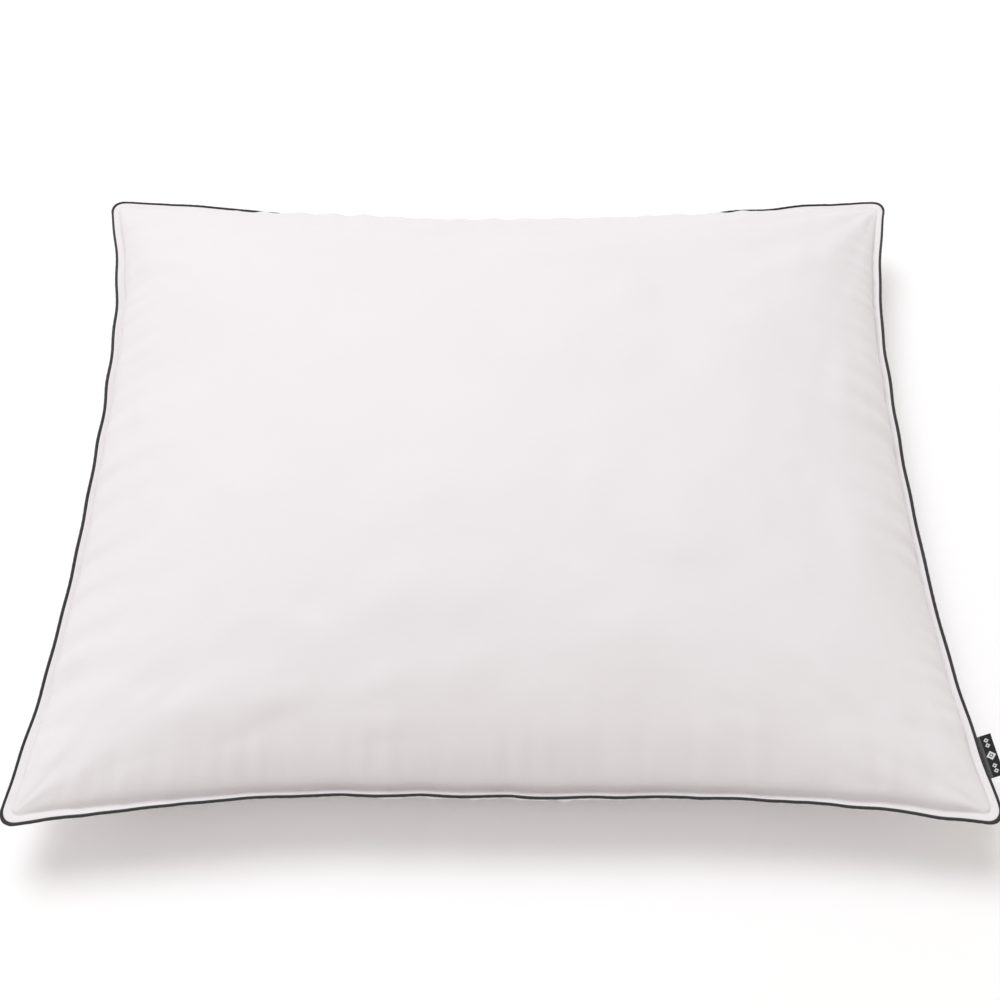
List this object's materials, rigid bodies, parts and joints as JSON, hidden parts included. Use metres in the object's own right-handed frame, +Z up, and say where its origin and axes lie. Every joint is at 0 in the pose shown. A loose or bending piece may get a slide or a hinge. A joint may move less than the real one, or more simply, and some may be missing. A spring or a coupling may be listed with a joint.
{
  "type": "bed pillow",
  "caption": "Plump rectangular bed pillow in white cotton, with a dark piped edge, a stitched flat border and a small woven side label.",
  "frame": {"origin": "centre of the pillow's footprint, on the surface that it lies on", "axes": "+X along the 70 cm side, +Y along the 60 cm side towards the edge with the care label, +Z up through the crown"},
  "size_m": [0.6864, 0.579, 0.157],
  "materials": {
    "ticking": "matte downproof cotton with a faint sheen",
    "filling": "loose fibre",
    "piping": "matte woven bias tape",
    "cord": "twisted cotton cord",
    "thread": "spun polyester thread",
    "label_black": "damask-woven tape with a slight sheen",
    "label_white": "satin ribbon"
  },
  "bodies": {
    "pillow": {"top_panel": "ticking", "bottom_panel": "ticking", "filling": "filling", "piping_tape": "piping", "piping_cord": "cord", "seam_thread": "thread", "edge_stitch_upper": "thread", "edge_stitch_lower": "thread", "closing_stitch": "thread"},
    "woven_label": {"woven_label": "label_black"},
    "care_label": {"care_label": "label_white"}
  },
  "joints": [
    {"name": "woven_label_flap", "type": "hinge", "parent": "pillow", "child": "woven_label", "pos_m": [0.33348, -0.23733, 0.057], "axis": [0.1229, -0.9924, 0], "range_deg": [-100, 112], "stiffness_Nm_per_rad": 0.0002},
    {"name": "care_label_flap", "type": "hinge", "parent": "pillow", "child": "care_label", "pos_m": [-0.10995, 0.27059, 0.057], "axis": [0.9992, -0.0408, 0], "range_deg": [-20, 172]}
  ]
}
